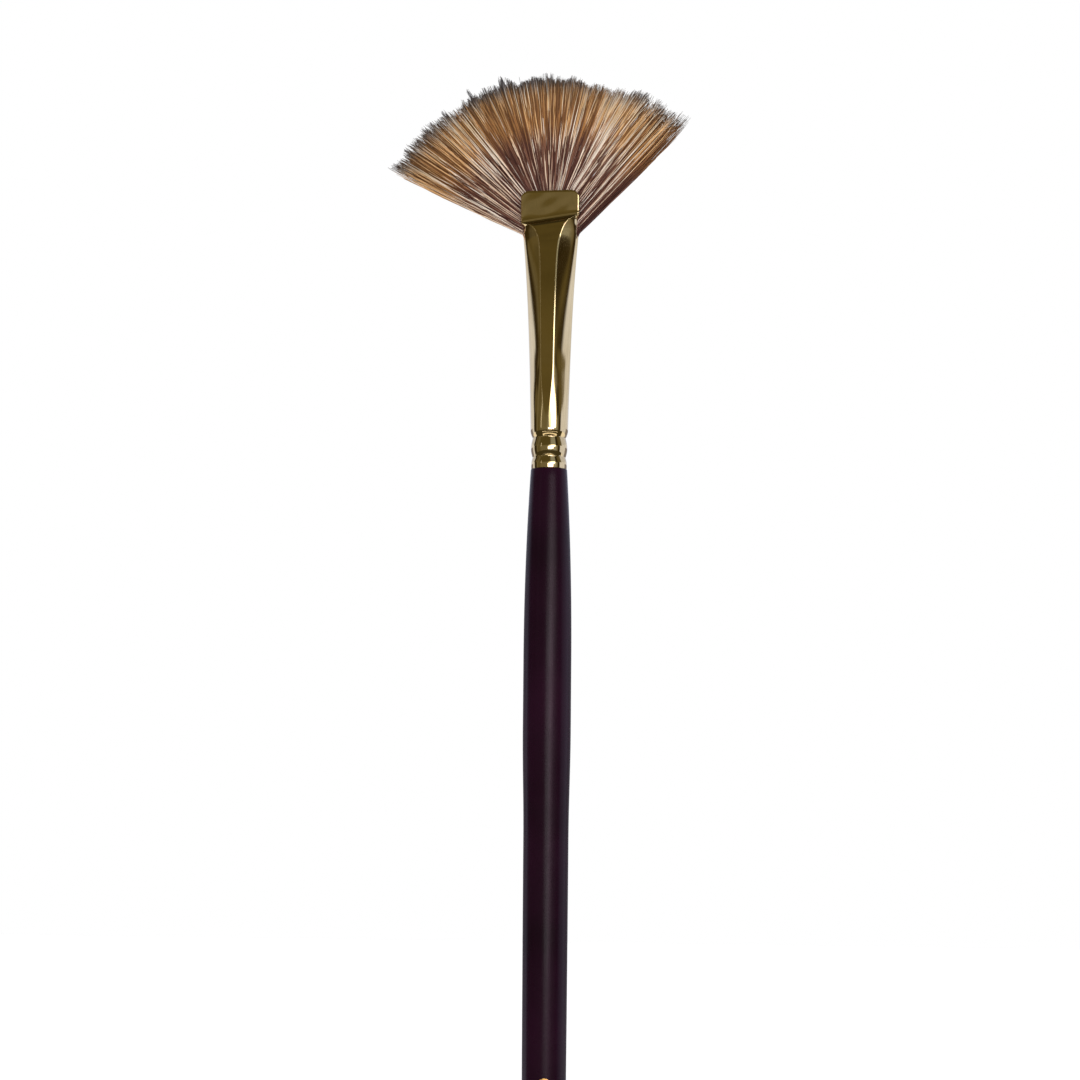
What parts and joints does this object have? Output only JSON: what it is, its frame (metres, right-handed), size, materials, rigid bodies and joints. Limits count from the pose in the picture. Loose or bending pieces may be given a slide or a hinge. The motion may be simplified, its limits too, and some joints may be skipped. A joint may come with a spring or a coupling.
{
  "type": "fan paint brush",
  "caption": "Artist's fan brush: long lacquered wooden handle, crimped and flattened brass ferrule, and a thin spread fan of banded hair that flexes at the ferrule's lip.",
  "frame": {"origin": "on the handle's axis, in the middle of the round grip, which is where the brush is held", "axes": "+Z along the handle towards the hair, +X across the fan, +Y through its thickness; the front face looks along -Y"},
  "size_m": [0.0512, 0.008, 0.3206],
  "materials": {
    "lacquered_wood": "dark burgundy satin lacquer over wood",
    "gold_brass": "polished, gold coloured",
    "clear_glue": "set amber resin",
    "thread": "waxed white thread",
    "hair": "natural hair banded mauve brown, ochre and dark grey towards its tips, with cream strands"
  },
  "bodies": {
    "brush": {"handle": "lacquered_wood", "ferrule": "gold_brass", "tenon_glue": "clear_glue", "glue_plug": "clear_glue", "root_binding": "thread", "hair_root": "hair", "hair_wing_left": "hair", "hair_wing_right": "hair"},
    "tuft": {"hair_fan": "hair"}
  },
  "joints": [
    {"name": "hair_flex", "type": "hinge", "parent": "brush", "child": "tuft", "pos_m": [0, 0, 0.0865], "axis": [1, 0, 0], "range_deg": [-40, 40], "stiffness_Nm_per_rad": 0.003}
  ]
}
